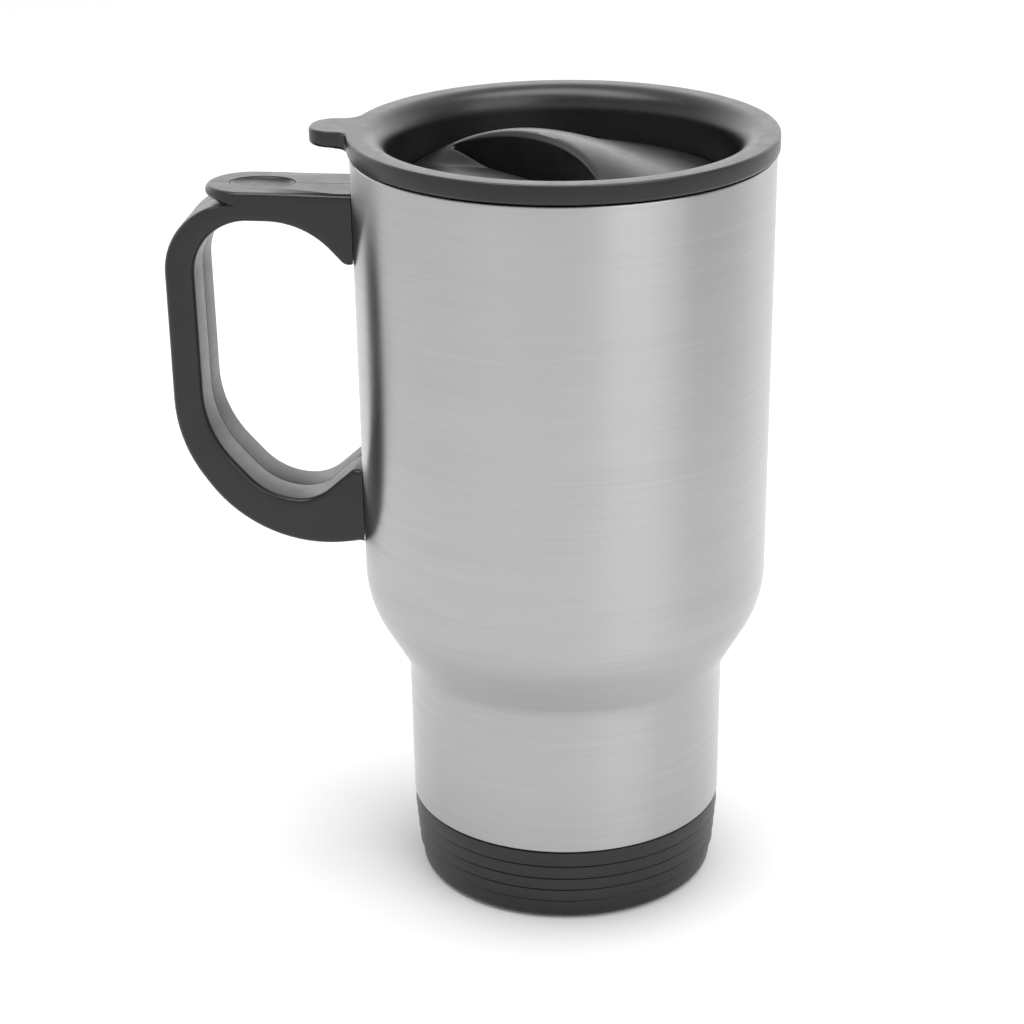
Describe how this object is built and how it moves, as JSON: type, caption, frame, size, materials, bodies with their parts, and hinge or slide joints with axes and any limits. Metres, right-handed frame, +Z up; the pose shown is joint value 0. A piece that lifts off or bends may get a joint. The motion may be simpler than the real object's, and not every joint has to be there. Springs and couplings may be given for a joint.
{
  "type": "insulated travel mug",
  "caption": "Double-walled steel travel mug with a D-shaped side handle, a stepped cup-holder base, a press-in lid and a turning drink closure.",
  "frame": {"origin": "centre of the flat pad under the base, on the mug's axis", "axes": "+Z up along the mug's axis, -X towards the handle, -Y towards the side seen in front"},
  "size_m": [0.1249, 0.087, 0.163],
  "materials": {
    "brushed_steel": "horizontal brushed",
    "plain_steel": "drawn, light polish",
    "screw_steel": "plain zinc",
    "black_plastic": "satin moulded",
    "black_rubber": "matte",
    "grey_silicone": "soft matte",
    "white_foam": "moulded foam"
  },
  "bodies": {
    "mug": {"outer_shell": "brushed_steel", "inner_liner": "plain_steel", "shell_bottom": "plain_steel", "insulation_foam": "white_foam", "base_cap": "black_plastic", "base_pad": "black_rubber", "handle_front_half": "black_plastic", "handle_back_half": "black_plastic", "thumb_rest": "black_plastic", "upper_bracket": "plain_steel", "lower_bracket": "plain_steel", "handle_screw_upper": "screw_steel", "handle_screw_middle": "screw_steel", "handle_screw_lower": "screw_steel"},
    "lid": {"lid_body": "black_plastic", "lid_gasket": "grey_silicone"},
    "closure": {"closure_dial": "black_plastic", "closure_seal": "grey_silicone", "pivot_washer": "screw_steel", "pivot_screw": "screw_steel"}
  },
  "joints": [
    {"name": "lid_lift", "type": "slide", "parent": "mug", "child": "lid", "axis": [0, 0, 1], "range_m": [0, 0.05]},
    {"name": "closure_turn", "type": "hinge", "parent": "lid", "child": "closure", "pos_m": [0, 0, 0.1499], "axis": [0, 0, 1], "range_deg": [0, 90]}
  ]
}
